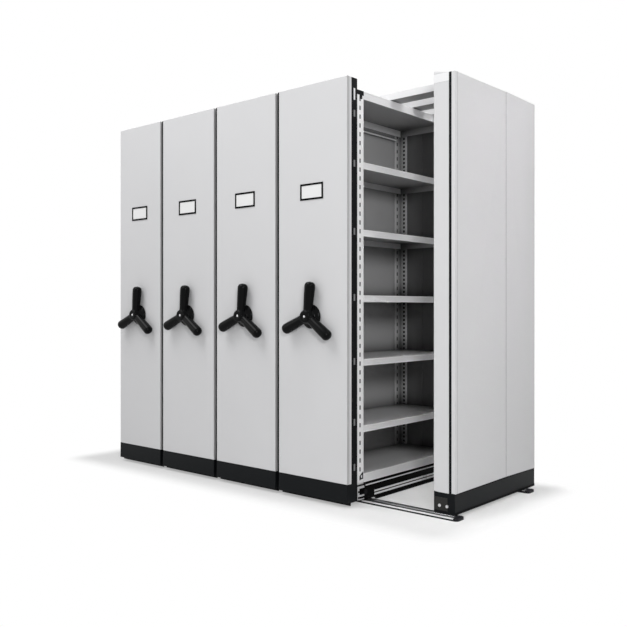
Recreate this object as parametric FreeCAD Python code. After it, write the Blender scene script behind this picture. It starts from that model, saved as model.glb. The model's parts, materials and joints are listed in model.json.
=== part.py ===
import FreeCAD, Part
import math
import os

# Mobile compact shelving: four hand-cranked carriages on two ground rails, between two fixed end
# units that are tied together overhead. Millimetres. x runs along the rails, y from the front
# panels to the back, z up from the floor. Until it is exported, the model has y = 0 on the front
# panels' faces; x = 0 is the middle of the rails.

# Overall sizes
HEIGHT = 2400.0                                   # floor to the top of the front panels
CARRIAGE_WIDTHS = (463.0, 520.0, 520.0, 520.0)    # front panels, left to right
BAY_LENGTH = 1048.0                               # along y, between a carriage's two end sheets
CLOSED_GAP = 30.0                                 # between two carriages that are closed up
AISLE = 432.0                                     # from the last carriage to the right end unit
END_GAP = 65.0                                    # from the left end unit to the first carriage
END_THICKNESS = 132.0                             # of an end unit, along the rails
END_SETBACK = 205.0                               # of an end unit, behind the front panels
RAIL_OVERHANG = 36.0                              # of a rail, past the end unit

# Sheets and clearances
SHEET = 1.5
BEAM_SHEET = 3.0
RUNNING_FIT = 0.3                                 # between pieces that move on each other
PRESS_GAP = 0.05                                  # between a shaft and what is keyed to it
SHELF_SEAT = 0.5                                  # between a shelf and the posts that hold it

# Ground rails
RAIL_WIDTH = 82.0
RAIL_HEIGHT = 14.0
RAIL_CORNER = 20.0
RAIL_INSET = 111.0                                # rail's middle from the nearer end of the bay
BAR_WIDTH = 20.0
BAR_HEIGHT = 10.0
BAR_SEAT_DEPTH = 6.0
BAR_SIDE_GAP = 0.1
BAR_END_MARGIN = 40.0
ANCHOR_HOLE_R = 5.5
ANCHOR_EDGE = 18.0                                # anchor hole from the end of the rail
ANCHOR_OFFSET = 25.0                              # anchor hole from the middle of the rail

# Front panel, plinth and housing behind the panel
PANEL_DEPTH = 40.0
PLINTH_TOP = 132.0
PLINTH_BOTTOM = 26.0
PLINTH_LIP = 20.0
HOUSING_DEPTH = 52.0
STRIP_WIDTH = 18.0
STRIP_WALL = 2.0
LABEL_WIDTH = 174.0
LABEL_HEIGHT = 95.0
LABEL_BORDER = 11.0
LABEL_THICKNESS = 4.0
LABEL_Z = 1782.0

# Crank, chain and axles
CRANK_Z = 1063.0
CRANK_SHAFT_R = 10.0
CRANK_HOLE_GAP = 0.5
CRANK_BUSH_R = 20.0
CRANK_BUSH_LENGTH = 30.0
HANDLE_DISC_R = 70.0
HANDLE_DISC_THICKNESS = 14.0
HANDLE_HUB_R = 36.0
HANDLE_PROJECTION = 65.0
HANDLE_REACH = 201.0
HANDLE_ARM_OUT = 37.0                             # arms' middle line, out from the panel
HANDLE_ROOT_R = 25.0
HANDLE_TIP_R = 28.0
HANDLE_FIRST_ARM = 84.0                           # degrees from +x towards +z
HANDLE_ARMS = 3
CHAIN_PITCH = 9.525
CRANK_TEETH = 12
AXLE_TEETH = 16
TOOTH_HEIGHT = 3.0
TOOTH_DEPTH = 2.5
SPROCKET_THICKNESS = 5.0
CHAIN_WIDTH = 9.0
CHAIN_THICKNESS = 5.0
CHAIN_SETBACK = 66.0                              # chain's middle plane, behind the front face
SHAFT_END = 6.0                                   # shaft past the chain's middle plane
WHEEL_R = 40.0
WHEEL_FLANGE = 3.5
WHEEL_FLANGE_WIDTH = 4.0
WHEEL_SIDE_PLAY = 1.0
AXLE_R = 12.0
AXLE_INSET = 90.0                                 # axle from the side of the carriage
AXLE_END = 14.0                                   # axle past its last bearing plate

# Carriage base
BASE_BOTTOM = 26.0
BASE_TOP = 110.0
BASE_FLANGE = 40.0
END_BEAM_FLANGE = 62.0
BEARING_PLATE = 5.0
BEARING_SPREAD = 50.0                             # bearing plate's middle from the rail's middle
BUFFER_R = 15.0
BUFFER_GAP = 1.0                                  # between two buffers that are closed up
BUFFER_INSET = 60.0                               # buffer from the end of the bay
BUFFER_Z = 70.0

# Shelving on a carriage
FASCIA_INSET = 12.0                               # shelf's front edge from the side of the carriage
BACK_SPACE = 84.0                                 # from the back sheet to the far side of the carriage
OUTER_BACK_INSET = 20.0                           # outer back sheet from that side
POST_WIDTH = 72.0
POST_DEPTH = 58.0
POST_SHEET = 2.0
POST_DROP = 55.0                                  # posts' tops below the panels' tops
SLOT_EDGE = 40.0                                  # slots' middle from the end sheet, on the web
SLOT_WIDTH = 10.0
SLOT_HEIGHT = 24.0
SLOT_PITCH = 50.0
HOLE_DEPTH = 32.0                                 # holes' middle from the web, on the flange
HOLE_WIDTH = 14.0
HOLE_HEIGHT = 16.0
HOLE_PITCH = 28.0
TOP_SHELF_DROP = 54.0
BOTTOM_SHELF_RISE = 58.0                          # bottom shelf's top above the base
BOTTOM_SHELF_FOLD = 50.0
SHELF_SPACES = (273.0, 377.0, 363.0, 373.0, 383.0, 402.0)   # shelf to shelf, from the bottom
SHELF_FOLD = 38.0
TOP_SHELF_FOLD = 45.0
SHELF_LIP = 15.0

# End units and overhead ties
END_DROP = 38.0                                   # end units' tops below the panels' tops
END_FACE_WIDTH = 94.0
END_POST_DEPTH = 60.0
END_SEAL_WIDTH = 16.0
END_SEAL_DEPTH = 18.0
COVER_FRONT_WIDTH = 565.0
COVER_SEAM = 2.0
END_BASE_INSET = 2.0
TIE_WIDTH = 110.0
TIE_HEIGHT = 40.0
TIE_WALL = 2.0
TIE_SINK = 10.0                                   # ties' undersides below the end units' tops
TIE_SEAT = 40.0                                   # of a tie, on the header at each end
TIE_COUNT = 3
TIE_LAST = 188.0                                  # last tie's middle before the end unit's rear
TIE_PITCH = 230.0
HEADER_HEIGHT = 40.0
BOLT_R = 9.0
BOLT_HEIGHT = 6.0
BOLT_SIDES = 6
END_BOLT_MIDDLE = 61.0                            # from the end base's inner side
END_BOLT_SPREAD = 46.0
END_BOLT_Z = 60.0
TIE_BOLT_SPREAD = 60.0

# Worked out from the above
BAY_FRONT = PANEL_DEPTH + HOUSING_DEPTH + SHEET
BAY_REAR = BAY_FRONT + BAY_LENGTH
REAR = BAY_REAR + SHEET
RAIL_MIDDLES = (BAY_FRONT + RAIL_INSET, BAY_REAR - RAIL_INSET)
RAIL_LENGTH = (2 * (RAIL_OVERHANG + END_THICKNESS) + END_GAP + sum(CARRIAGE_WIDTHS)
               + CLOSED_GAP * (len(CARRIAGE_WIDTHS) - 1) + AISLE)
BAR_TOP = RAIL_HEIGHT - BAR_SEAT_DEPTH + BAR_HEIGHT
AXLE_Z = BAR_TOP + WHEEL_R + RUNNING_FIT
POST_TOP = HEIGHT - POST_DROP
END_INNER = RAIL_LENGTH / 2 - RAIL_OVERHANG - END_THICKNESS
END_OUTER = END_INNER + END_THICKNESS
END_TOP = HEIGHT - END_DROP
TIE_BOTTOM = END_TOP - TIE_SINK
TIE_TOP = TIE_BOTTOM + TIE_HEIGHT
TO_ORIGIN = FreeCAD.Vector(0, (HANDLE_PROJECTION - REAR) / 2, 0)
ALONG_X = FreeCAD.Vector(1, 0, 0)
ALONG_Y = FreeCAD.Vector(0, 1, 0)
ALONG_Z = FreeCAD.Vector(0, 0, 1)


class Carriage:
    """Where one carriage stands along the rails."""

    def __init__(self, number, left, width):
        self.name = "carriage_%d" % number
        self.left = left
        self.right = left + width
        self.middle = left + width / 2
        self.fascia = self.right - FASCIA_INSET
        self.back = self.left + BACK_SPACE
        self.drive_x = self.right - AXLE_INSET
        self.idle_x = self.left + AXLE_INSET


def box(x0, x1, y0, y1, z0, z1):
    return Part.makeBox(x1 - x0, y1 - y0, z1 - z0, FreeCAD.Vector(x0, y0, z0))


def rod(radius, x, y0, y1, z):
    return Part.makeCylinder(radius, y1 - y0, FreeCAD.Vector(x, y0, z), ALONG_Y)


def joined(solids):
    return solids[0].multiFuse(solids[1:]).removeSplitter()


def face_of(points):
    return Part.Face(Part.makePolygon(points + points[:1]))


def shelf_tops():
    """Heights of the shelves: the spaces are shared out between the bottom and the top shelf."""
    bottom = BASE_TOP + BOTTOM_SHELF_RISE
    share = (HEIGHT - TOP_SHELF_DROP - bottom) / sum(SHELF_SPACES)
    tops = [bottom]
    for space in SHELF_SPACES:
        tops.append(tops[-1] + space * share)
    return tops


def pitch_radius(teeth):
    return CHAIN_PITCH / (2 * math.sin(math.pi / teeth))


def sprocket(teeth, x, z, bore):
    """Toothed disc about a shaft along y, in the chain's plane."""
    radius = pitch_radius(teeth)
    y0 = CHAIN_SETBACK - SPROCKET_THICKNESS / 2
    corners = []
    for step in range(4 * teeth):
        reach = radius + TOOTH_HEIGHT if step % 4 < 2 else radius - TOOTH_DEPTH
        angle = 2 * math.pi * step / (4 * teeth)
        corners.append(FreeCAD.Vector(x + reach * math.cos(angle), y0, z + reach * math.sin(angle)))
    disc = face_of(corners).extrude(ALONG_Y * SPROCKET_THICKNESS)
    return disc.cut(rod(bore, x, y0, y0 + SPROCKET_THICKNESS, z))


def loop_face(low, low_r, high, high_r):
    """Face inside a belt line round two circles in the chain's plane."""
    run = high - low
    heading = math.atan2(run.z, run.x)
    lean = math.acos((low_r - high_r) / run.Length)

    def on_circle(middle, radius, angle):
        return middle + FreeCAD.Vector(radius * math.cos(angle), 0, radius * math.sin(angle))

    low_left = on_circle(low, low_r, heading + lean)
    low_right = on_circle(low, low_r, heading - lean)
    high_left = on_circle(high, high_r, heading + lean)
    high_right = on_circle(high, high_r, heading - lean)
    low_end = on_circle(low, low_r, heading + math.pi)
    high_end = on_circle(high, high_r, heading)
    edges = [Part.Arc(low_left, low_end, low_right).toShape(),
             Part.LineSegment(low_right, high_right).toShape(),
             Part.Arc(high_right, high_end, high_left).toShape(),
             Part.LineSegment(high_left, low_left).toShape()]
    return Part.Face(Part.Wire(edges))


def front_panel(c):
    """Folded tray with the crank's bearing bush on its inner face."""
    tray = box(c.left, c.right, 0, PANEL_DEPTH, PLINTH_TOP, HEIGHT)
    tray = tray.cut(box(c.left + SHEET, c.right - SHEET, SHEET, PANEL_DEPTH,
                        PLINTH_TOP + SHEET, HEIGHT - SHEET))
    tray = tray.cut(rod(CRANK_SHAFT_R + CRANK_HOLE_GAP, c.middle, 0, SHEET, CRANK_Z))
    bush_end = SHEET + CRANK_BUSH_LENGTH
    bush = rod(CRANK_BUSH_R, c.middle, SHEET, bush_end, CRANK_Z)
    bush = bush.cut(rod(CRANK_SHAFT_R + RUNNING_FIT, c.middle, SHEET, bush_end, CRANK_Z))
    return [tray, bush]


def plinth(c):
    """Folded kick plate: front, two returns as far back as the base, and a short lip on top."""
    depth = PANEL_DEPTH + HOUSING_DEPTH
    front = box(c.left, c.right, 0, SHEET, PLINTH_BOTTOM, PLINTH_TOP)
    lip = box(c.left, c.right, 0, PLINTH_LIP, PLINTH_TOP - SHEET, PLINTH_TOP)
    left = box(c.left, c.left + SHEET, 0, depth, PLINTH_BOTTOM, PLINTH_TOP)
    right = box(c.right - SHEET, c.right, 0, depth, PLINTH_BOTTOM, PLINTH_TOP)
    return [joined([front, lip, left, right])]


def edge_seals(c):
    """Black channels down both edges and along the top of the housing, and the rubber buffers."""
    y0 = PANEL_DEPTH
    y1 = PANEL_DEPTH + HOUSING_DEPTH
    inner0 = y0 + STRIP_WALL
    inner1 = y1 - STRIP_WALL
    left = box(c.left, c.left + STRIP_WIDTH, y0, y1, PLINTH_TOP, HEIGHT)
    left = left.cut(box(c.left + STRIP_WALL, c.left + STRIP_WIDTH, inner0, inner1, PLINTH_TOP, HEIGHT))
    right = box(c.right - STRIP_WIDTH, c.right, y0, y1, PLINTH_TOP, HEIGHT)
    right = right.cut(box(c.right - STRIP_WIDTH, c.right - STRIP_WALL, inner0, inner1, PLINTH_TOP, HEIGHT))
    inside0 = c.left + STRIP_WIDTH
    inside1 = c.right - STRIP_WIDTH
    top = box(inside0, inside1, y0, y1, HEIGHT - STRIP_WIDTH, HEIGHT)
    top = top.cut(box(inside0, inside1, inner0, inner1, HEIGHT - STRIP_WIDTH, HEIGHT - STRIP_WALL))
    length = (CLOSED_GAP - BUFFER_GAP) / 2
    buffers = []
    for y in (BAY_FRONT + BUFFER_INSET, BAY_REAR - BUFFER_INSET):
        for x in (c.left - length, c.right):
            place = FreeCAD.Vector(x, y, BUFFER_Z)
            buffers.append(Part.makeCylinder(BUFFER_R, length, place, ALONG_X))
    return [left, right, top] + buffers


def label_holder(c):
    half_width = LABEL_WIDTH / 2
    half_height = LABEL_HEIGHT / 2
    frame = box(c.middle - half_width, c.middle + half_width, -LABEL_THICKNESS, 0,
                LABEL_Z - half_height, LABEL_Z + half_height)
    window = box(c.middle - half_width + LABEL_BORDER, c.middle + half_width - LABEL_BORDER,
                 -LABEL_THICKNESS, 0, LABEL_Z - half_height + LABEL_BORDER,
                 LABEL_Z + half_height - LABEL_BORDER)
    return [frame.cut(window)]


def handle_arm(middle, out):
    """Round grip that widens from inside the hub to a ball end."""
    root = middle + out * (HANDLE_HUB_R / 2)
    ball = middle + out * (HANDLE_REACH - HANDLE_TIP_R)
    slant = math.sqrt(0.5) * HANDLE_TIP_R
    tip = ball + out * HANDLE_TIP_R
    root_edge = root - ALONG_Y * HANDLE_ROOT_R
    ball_edge = ball - ALONG_Y * HANDLE_TIP_R
    edges = [Part.LineSegment(root, root_edge).toShape(),
             Part.LineSegment(root_edge, ball_edge).toShape(),
             Part.Arc(ball_edge, ball + out * slant - ALONG_Y * slant, tip).toShape(),
             Part.LineSegment(tip, root).toShape()]
    return Part.Face(Part.Wire(edges)).revolve(middle, out, 360)


def handle(c):
    """Three-arm crank: a disc close to the panel, a hub, and arms that swell towards their tips."""
    hub_back = -RUNNING_FIT
    disc = rod(HANDLE_DISC_R, c.middle, hub_back - HANDLE_DISC_THICKNESS, hub_back, CRANK_Z)
    hub = rod(HANDLE_HUB_R, c.middle, -HANDLE_PROJECTION, hub_back - HANDLE_DISC_THICKNESS / 2, CRANK_Z)
    pieces = [disc, hub]
    middle = FreeCAD.Vector(c.middle, -HANDLE_ARM_OUT, CRANK_Z)
    for arm in range(HANDLE_ARMS):
        angle = math.radians(HANDLE_FIRST_ARM + 360.0 * arm / HANDLE_ARMS)
        pieces.append(handle_arm(middle, FreeCAD.Vector(math.cos(angle), 0, math.sin(angle))))
    return [joined(pieces)]


def crank_shaft(c):
    end = CHAIN_SETBACK + SHAFT_END
    shaft = rod(CRANK_SHAFT_R, c.middle, -RUNNING_FIT, end, CRANK_Z)
    return [shaft, sprocket(CRANK_TEETH, c.middle, CRANK_Z, CRANK_SHAFT_R + PRESS_GAP)]


def drive_chain(c):
    """Closed chain, as a plain band that clears the sprockets' teeth."""
    y0 = CHAIN_SETBACK - CHAIN_WIDTH / 2
    low = FreeCAD.Vector(c.drive_x, y0, AXLE_Z)
    high = FreeCAD.Vector(c.middle, y0, CRANK_Z)
    low_r = pitch_radius(AXLE_TEETH) + TOOTH_HEIGHT + RUNNING_FIT
    high_r = pitch_radius(CRANK_TEETH) + TOOTH_HEIGHT + RUNNING_FIT
    outside = loop_face(low, low_r + CHAIN_THICKNESS, high, high_r + CHAIN_THICKNESS)
    inside = loop_face(low, low_r, high, high_r)
    return [outside.extrude(ALONG_Y * CHAIN_WIDTH).cut(inside.extrude(ALONG_Y * CHAIN_WIDTH))]


def wheel(x, rail_middle):
    """Wheel with a flange on each side of the running bar."""
    half_tread = BAR_WIDTH / 2 + WHEEL_SIDE_PLAY
    half_width = half_tread + WHEEL_FLANGE_WIDTH
    flange_r = WHEEL_R + WHEEL_FLANGE
    bore = AXLE_R + PRESS_GAP
    outline = [(bore, -half_width), (flange_r, -half_width), (flange_r, -half_tread),
               (WHEEL_R, -half_tread), (WHEEL_R, half_tread), (flange_r, half_tread),
               (flange_r, half_width), (bore, half_width)]
    points = [FreeCAD.Vector(x + radius, rail_middle + y, AXLE_Z) for radius, y in outline]
    return face_of(points).revolve(FreeCAD.Vector(x, rail_middle, AXLE_Z), ALONG_Y, 360)


def axle(x, front):
    rear = RAIL_MIDDLES[1] + BEARING_SPREAD + AXLE_END
    return [rod(AXLE_R, x, front, rear, AXLE_Z)] + [wheel(x, middle) for middle in RAIL_MIDDLES]


def drive_axle(c):
    wheels = axle(c.drive_x, CHAIN_SETBACK - SHAFT_END)
    return wheels + [sprocket(AXLE_TEETH, c.drive_x, AXLE_Z, AXLE_R + PRESS_GAP)]


def idle_axle(c):
    return axle(c.idle_x, RAIL_MIDDLES[0] - BEARING_SPREAD - AXLE_END)


def base_frame(c):
    """Two side angles, two end angles and four plates that carry the axles."""
    front = BAY_FRONT - SHEET
    web_top = BASE_TOP - BEAM_SHEET
    inside0 = c.left + BEAM_SHEET
    inside1 = c.right - BEAM_SHEET
    flange0 = c.left + BASE_FLANGE
    flange1 = c.right - BASE_FLANGE
    left = joined([box(c.left, inside0, front, REAR, BASE_BOTTOM, BASE_TOP),
                   box(c.left, flange0, front, REAR, web_top, BASE_TOP)])
    right = joined([box(inside1, c.right, front, REAR, BASE_BOTTOM, BASE_TOP),
                    box(flange1, c.right, front, REAR, web_top, BASE_TOP)])
    hole_front = front - BEARING_PLATE
    holes = [rod(AXLE_R + RUNNING_FIT, x, hole_front, REAR, AXLE_Z) for x in (c.drive_x, c.idle_x)]
    ends = [joined([box(inside0, inside1, front, front + BEAM_SHEET, BASE_BOTTOM, web_top),
                    box(flange0, flange1, front, front + END_BEAM_FLANGE, web_top, BASE_TOP)]),
            joined([box(inside0, inside1, REAR - BEAM_SHEET, REAR, BASE_BOTTOM, web_top),
                    box(flange0, flange1, REAR - END_BEAM_FLANGE, REAR, web_top, BASE_TOP)])]
    ends[0] = ends[0].cut(holes[0])
    plates = []
    for middle in RAIL_MIDDLES:
        for y in (middle - BEARING_SPREAD, middle + BEARING_SPREAD):
            plate = box(inside0, inside1, y - BEARING_PLATE / 2, y + BEARING_PLATE / 2,
                        BASE_BOTTOM, web_top)
            plates.append(plate.cut(holes[0]).cut(holes[1]))
    return [left, right] + ends + plates


def post_rows(pitch, height):
    """Feet and tops of the cuts in a column up a post."""
    rows = []
    foot = BASE_TOP + pitch / 2
    while foot + height < POST_TOP:
        rows.append((foot, foot + height))
        foot += pitch
    return rows


def post(web_x, flange_way, end_y, inward):
    """Angle post in a corner: a slotted web that faces the aisle, a pierced flange on the end sheet."""
    def span(start, way, length):
        return (start, start + way * length) if way > 0 else (start + way * length, start)

    web_wall = span(web_x, flange_way, POST_SHEET)
    flange_wall = span(end_y, inward, POST_SHEET)
    web = box(*web_wall, *span(end_y, inward, POST_WIDTH), BASE_TOP, POST_TOP)
    flange = box(*span(web_x, flange_way, POST_DEPTH), *flange_wall, BASE_TOP, POST_TOP)
    slot_y = end_y + inward * SLOT_EDGE - SLOT_WIDTH / 2
    hole_x = web_x + flange_way * HOLE_DEPTH - HOLE_WIDTH / 2
    cuts = []
    for foot, top in post_rows(SLOT_PITCH, SLOT_HEIGHT):
        cuts.append(box(*web_wall, slot_y, slot_y + SLOT_WIDTH, foot, top))
    for foot, top in post_rows(HOLE_PITCH, HOLE_HEIGHT):
        cuts.append(box(hole_x, hole_x + HOLE_WIDTH, *flange_wall, foot, top))
    return joined([web, flange]).cut(Part.makeCompound(cuts))


def uprights(c):
    solids = []
    for end_y, inward in ((BAY_FRONT, 1), (BAY_REAR, -1)):
        solids.append(post(c.fascia, -1, end_y, inward))
        solids.append(post(c.back, 1, end_y, inward))
    return solids


def shelf(c, top, fold):
    """Tray that reaches into the posts' corners, with folds down all round and a front lip."""
    inside_posts = POST_SHEET + SHELF_SEAT
    x0 = c.back + inside_posts
    x1 = c.fascia - inside_posts
    y0 = BAY_FRONT + inside_posts
    y1 = BAY_REAR - inside_posts
    post_y0 = BAY_FRONT + POST_WIDTH + SHELF_SEAT
    post_y1 = BAY_REAR - POST_WIDTH - SHELF_SEAT
    under = top - fold
    return joined([box(x0, x1, y0, y1, top - SHEET, top),
                   box(x1 - SHEET, c.fascia, post_y0, post_y1, top - SHEET, top),
                   box(c.fascia - SHEET, c.fascia, post_y0, post_y1, under, top),
                   box(c.fascia - SHELF_LIP, c.fascia, post_y0, post_y1, under, under + SHEET),
                   box(x0, x0 + SHEET, y0, y1, under, top),
                   box(x0, x1, y0, y0 + SHEET, under, top),
                   box(x0, x1, y1 - SHEET, y1, under, top)])


def shelves(c):
    tops = shelf_tops()
    bottom = shelf(c, tops[0], BOTTOM_SHELF_FOLD)
    pattern = shelf(c, tops[1], SHELF_FOLD)
    middle = [pattern.translated(ALONG_Z * (top - tops[1])) for top in tops[1:-1]]
    return [bottom] + middle + [shelf(c, tops[-1], TOP_SHELF_FOLD)]


def panels(c):
    """Back sheet behind the shelves, outer back sheet, and the two end sheets."""
    outer = c.left + OUTER_BACK_INSET
    back = box(c.back - SHEET, c.back, BAY_FRONT, BAY_REAR, BASE_TOP, POST_TOP)
    outer_back = box(outer, outer + SHEET, BAY_FRONT, BAY_REAR, BASE_TOP, POST_TOP)
    front_end = box(outer, c.fascia, BAY_FRONT - SHEET, BAY_FRONT, BASE_TOP, POST_TOP)
    rear_end = box(outer, c.fascia, BAY_REAR, REAR, BASE_TOP, POST_TOP)
    return [back, outer_back, front_end, rear_end]


def both_ends(solids):
    """The right end unit's solids and their mirror images at the left end."""
    return solids + [solid.mirror(FreeCAD.Vector(0, 0, 0), ALONG_X) for solid in solids]


def ground_rails():
    """Two floor rails with a groove for the running bar and an anchor hole at each end."""
    rails = []
    half = RAIL_LENGTH / 2
    for middle, outward in zip(RAIL_MIDDLES, (-1, 1)):
        rail = box(-half, half, middle - RAIL_WIDTH / 2, middle + RAIL_WIDTH / 2, 0, RAIL_HEIGHT)
        uprights_at_corners = [edge for edge in rail.Edges
                               if abs(edge.Vertexes[0].Z - edge.Vertexes[1].Z) > RAIL_HEIGHT / 2]
        rail = rail.makeFillet(RAIL_CORNER, uprights_at_corners)
        groove_end = half - BAR_END_MARGIN + BAR_SIDE_GAP
        groove = BAR_WIDTH / 2 + BAR_SIDE_GAP
        rail = rail.cut(box(-groove_end, groove_end, middle - groove, middle + groove,
                            RAIL_HEIGHT - BAR_SEAT_DEPTH, RAIL_HEIGHT))
        for x in (ANCHOR_EDGE - half, half - ANCHOR_EDGE):
            place = FreeCAD.Vector(x, middle + outward * ANCHOR_OFFSET, 0)
            rail = rail.cut(Part.makeCylinder(ANCHOR_HOLE_R, RAIL_HEIGHT, place, ALONG_Z))
        rails.append(rail)
    return rails


def rail_bars():
    half = RAIL_LENGTH / 2 - BAR_END_MARGIN
    return [box(-half, half, middle - BAR_WIDTH / 2, middle + BAR_WIDTH / 2, BAR_TOP - BAR_HEIGHT, BAR_TOP)
            for middle in RAIL_MIDDLES]


def end_posts():
    """Front and rear posts of the end units: channels that open towards each other."""
    x0 = END_INNER
    x1 = END_INNER + END_FACE_WIDTH
    front = box(x0, x1, END_SETBACK, END_SETBACK + END_POST_DEPTH, PLINTH_TOP, END_TOP)
    front = front.cut(box(x0 + POST_SHEET, x1 - POST_SHEET, END_SETBACK + POST_SHEET,
                          END_SETBACK + END_POST_DEPTH, PLINTH_TOP, END_TOP - POST_SHEET))
    rear = box(x0, x1, REAR - END_POST_DEPTH, REAR, PLINTH_TOP, END_TOP)
    rear = rear.cut(box(x0 + POST_SHEET, x1 - POST_SHEET, REAR - END_POST_DEPTH,
                        REAR - POST_SHEET, PLINTH_TOP, END_TOP - POST_SHEET))
    return both_ends([front, rear])


def end_seals():
    """Black strips between the posts and the outer cover."""
    x0 = END_INNER + END_FACE_WIDTH
    x1 = x0 + END_SEAL_WIDTH
    front = box(x0, x1, END_SETBACK, END_SETBACK + END_SEAL_DEPTH, PLINTH_TOP, END_TOP)
    rear = box(x0, x1, REAR - END_SEAL_DEPTH, REAR, PLINTH_TOP, END_TOP)
    return both_ends([front, rear])


def end_cover_panels():
    """Outer cover of an end unit: two folded trays side by side."""
    x0 = END_INNER + END_FACE_WIDTH + END_SEAL_WIDTH
    seam = END_SETBACK + COVER_FRONT_WIDTH
    trays = []
    for y0, y1 in ((END_SETBACK, seam), (seam + COVER_SEAM, REAR)):
        tray = box(x0, END_OUTER, y0, y1, PLINTH_TOP, END_TOP)
        trays.append(tray.cut(box(x0, END_OUTER - SHEET, y0 + SHEET, y1 - SHEET,
                                  PLINTH_TOP + SHEET, END_TOP - SHEET)))
    return both_ends(trays)


def end_bases():
    """Box beam under each end unit's posts and another under its cover, on the running bars."""
    seam = END_INNER + END_FACE_WIDTH
    beams = []
    for x0, x1 in ((END_INNER, seam), (seam, END_OUTER - END_BASE_INSET)):
        beam = box(x0, x1, END_SETBACK, REAR, BAR_TOP, PLINTH_TOP)
        beams.append(beam.cut(box(x0 + BEAM_SHEET, x1 - BEAM_SHEET, END_SETBACK + BEAM_SHEET,
                                  REAR - BEAM_SHEET, BAR_TOP + BEAM_SHEET, PLINTH_TOP - BEAM_SHEET)))
    return both_ends(beams)


def tie_middles():
    """Places of the overhead ties along y."""
    return [REAR - TIE_LAST - number * TIE_PITCH for number in range(TIE_COUNT)]


def overhead_ties():
    """Header tube between the posts at each end, and tubes across the aisle that lie on the headers."""
    x1 = END_INNER + TIE_SEAT
    y0 = END_SETBACK + END_POST_DEPTH
    y1 = REAR - END_POST_DEPTH
    header_bottom = TIE_BOTTOM - HEADER_HEIGHT
    header = box(END_INNER, x1, y0, y1, header_bottom, TIE_BOTTOM)
    header = header.cut(box(END_INNER + TIE_WALL, x1 - TIE_WALL, y0, y1,
                            header_bottom + TIE_WALL, TIE_BOTTOM - TIE_WALL))
    ties = []
    for middle in tie_middles():
        side0 = middle - TIE_WIDTH / 2
        side1 = middle + TIE_WIDTH / 2
        tie = box(-x1, x1, side0, side1, TIE_BOTTOM, TIE_TOP)
        ties.append(tie.cut(box(-x1, x1, side0 + TIE_WALL, side1 - TIE_WALL,
                                TIE_BOTTOM + TIE_WALL, TIE_TOP - TIE_WALL)))
    return both_ends([header]) + ties


def bolt(place, out):
    """Hexagon head standing on a face at place, pointing out."""
    across = FreeCAD.Vector(out.z, out.x, out.y)
    spin = FreeCAD.Rotation(out, 360.0 / BOLT_SIDES)
    corners = [place + across * BOLT_R]
    for _ in range(BOLT_SIDES - 1):
        corners.append(place + spin.multVec(corners[-1] - place))
    return face_of(corners).extrude(out * BOLT_HEIGHT)


def bolts():
    """Bolt heads on the end bases' front ends and on the overhead ties."""
    heads = []
    for side in (-1, 1):
        x = END_INNER + END_BOLT_MIDDLE + side * END_BOLT_SPREAD / 2
        heads.append(bolt(FreeCAD.Vector(x, END_SETBACK, END_BOLT_Z), -ALONG_Y))
        for middle in tie_middles():
            y = middle + side * TIE_BOLT_SPREAD / 2
            heads.append(bolt(FreeCAD.Vector(END_INNER + TIE_SEAT / 2, y, TIE_TOP), ALONG_Z))
    return both_ends(heads)


def export(name, solids):
    moved = [solid.translated(TO_ORIGIN) for solid in solids]
    Part.makeCompound(moved).exportStep("parts/%s.step" % name)


CARRIAGE_PIECES = (front_panel, plinth, edge_seals, label_holder, handle, crank_shaft, drive_chain,
                   drive_axle, idle_axle, base_frame, uprights, shelves, panels)
FIXED_PIECES = (ground_rails, rail_bars, end_posts, end_seals, end_cover_panels, end_bases,
                overhead_ties, bolts)

os.makedirs("parts", exist_ok=True)
left_edge = END_GAP - END_INNER
for number, width in enumerate(CARRIAGE_WIDTHS, start=1):
    carriage = Carriage(number, left_edge, width)
    for piece in CARRIAGE_PIECES:
        export("%s_%s" % (carriage.name, piece.__name__), piece(carriage))
    left_edge = carriage.right + CLOSED_GAP
for piece in FIXED_PIECES:
    export(piece.__name__, piece())
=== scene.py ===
import json
import math

import bmesh
import bpy
from mathutils import Matrix, Vector


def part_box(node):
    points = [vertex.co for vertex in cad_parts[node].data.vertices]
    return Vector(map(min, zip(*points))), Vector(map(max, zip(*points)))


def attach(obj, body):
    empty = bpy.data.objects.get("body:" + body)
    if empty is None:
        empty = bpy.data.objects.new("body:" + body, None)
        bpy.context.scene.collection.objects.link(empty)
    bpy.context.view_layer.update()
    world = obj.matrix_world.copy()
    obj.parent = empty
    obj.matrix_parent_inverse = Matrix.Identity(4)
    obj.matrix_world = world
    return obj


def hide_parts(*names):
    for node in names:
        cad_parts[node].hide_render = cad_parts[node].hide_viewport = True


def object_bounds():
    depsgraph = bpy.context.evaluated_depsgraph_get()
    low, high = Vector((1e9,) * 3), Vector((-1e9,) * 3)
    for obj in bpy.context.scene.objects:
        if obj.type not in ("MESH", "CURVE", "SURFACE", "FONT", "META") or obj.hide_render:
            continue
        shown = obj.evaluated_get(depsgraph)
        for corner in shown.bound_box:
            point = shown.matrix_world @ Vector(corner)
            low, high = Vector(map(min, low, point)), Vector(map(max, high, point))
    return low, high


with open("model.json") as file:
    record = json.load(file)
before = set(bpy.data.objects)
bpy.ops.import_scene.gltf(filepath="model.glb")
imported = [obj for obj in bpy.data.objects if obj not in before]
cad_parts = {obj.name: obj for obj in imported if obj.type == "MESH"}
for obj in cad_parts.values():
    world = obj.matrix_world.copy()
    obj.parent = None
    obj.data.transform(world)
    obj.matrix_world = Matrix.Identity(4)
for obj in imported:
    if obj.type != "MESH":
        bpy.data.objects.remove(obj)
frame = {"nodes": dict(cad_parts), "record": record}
cad_low, cad_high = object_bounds()

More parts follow.
